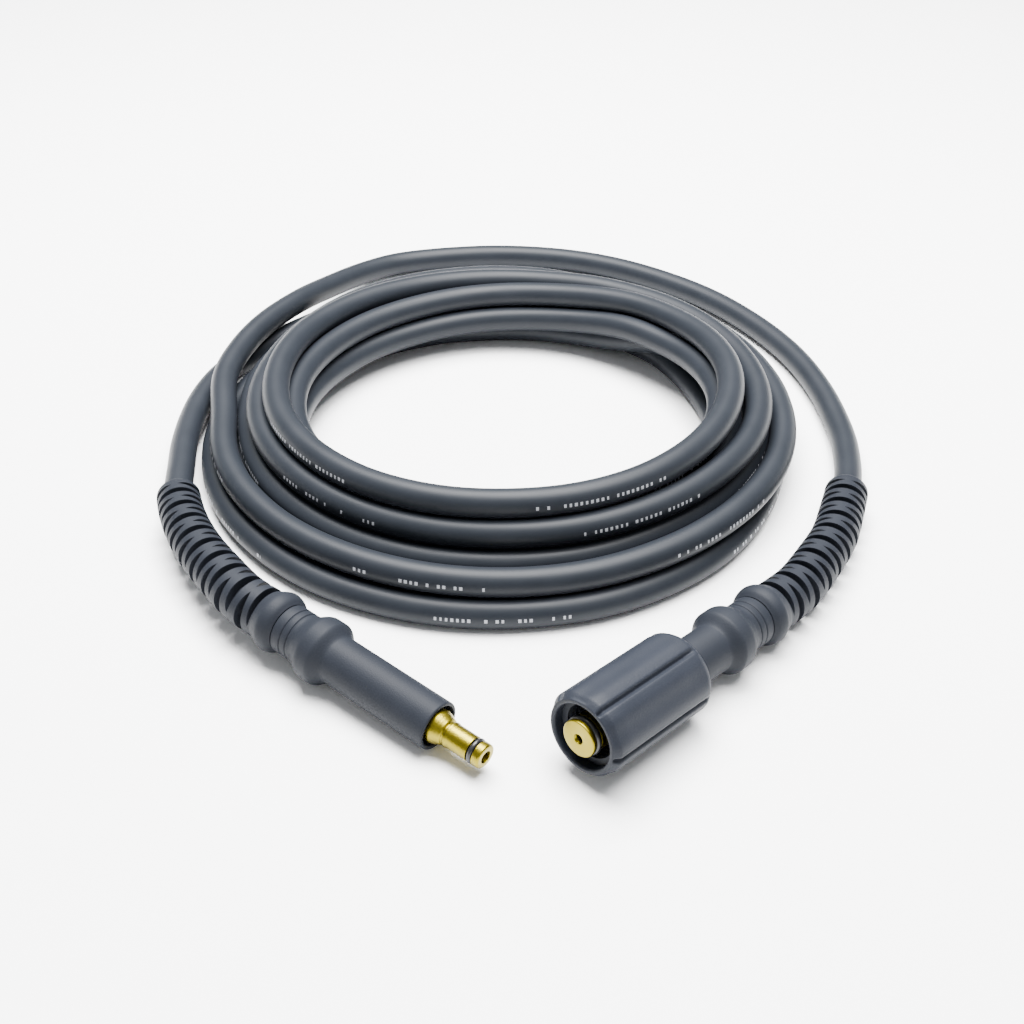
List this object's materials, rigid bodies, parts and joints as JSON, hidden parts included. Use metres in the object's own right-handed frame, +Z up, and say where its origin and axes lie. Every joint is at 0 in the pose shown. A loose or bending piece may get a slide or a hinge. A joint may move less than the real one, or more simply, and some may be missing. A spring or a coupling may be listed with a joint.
{
  "type": "pressure washer hose",
  "caption": "Coiled high-pressure hose with slotted bend reliefs, a brass plug nipple at one end and a hand-turned screw nut at the other.",
  "frame": {"origin": "centre of the coiled hose's bounding box, on the floor that it lies on", "axes": "+Z up; +Y away from the two fittings, towards the back of the outer loop; +X towards the screw nut's side"},
  "size_m": [0.3128, 0.4097, 0.0432],
  "materials": {
    "hose_rubber": "satin black, slightly blue",
    "grip_plastic": "matte moulded plastic",
    "nut_plastic": "fine-grained moulded plastic",
    "brass": "turned, bright",
    "seal_rubber": "smooth"
  },
  "bodies": {
    "hose": {"hose_coil": "hose_rubber", "hose_tail_plug_end": "hose_rubber", "hose_tail_nut_end": "hose_rubber", "bend_relief_plug_end": "grip_plastic", "bend_relief_nut_end": "grip_plastic", "grip_sleeve_plug_end": "grip_plastic", "grip_sleeve_nut_end": "grip_plastic", "plug_nipple": "brass", "plug_o_ring": "seal_rubber", "nut_insert": "brass", "insert_o_ring": "seal_rubber"},
    "nut": {"screw_nut": "nut_plastic"}
  },
  "joints": [
    {"name": "nut_spin", "type": "hinge", "parent": "hose", "child": "nut", "pos_m": [0.0937, -0.12248, 0.01247], "axis": [-0.7028, -0.7077, 0.073], "continuous": true}
  ]
}
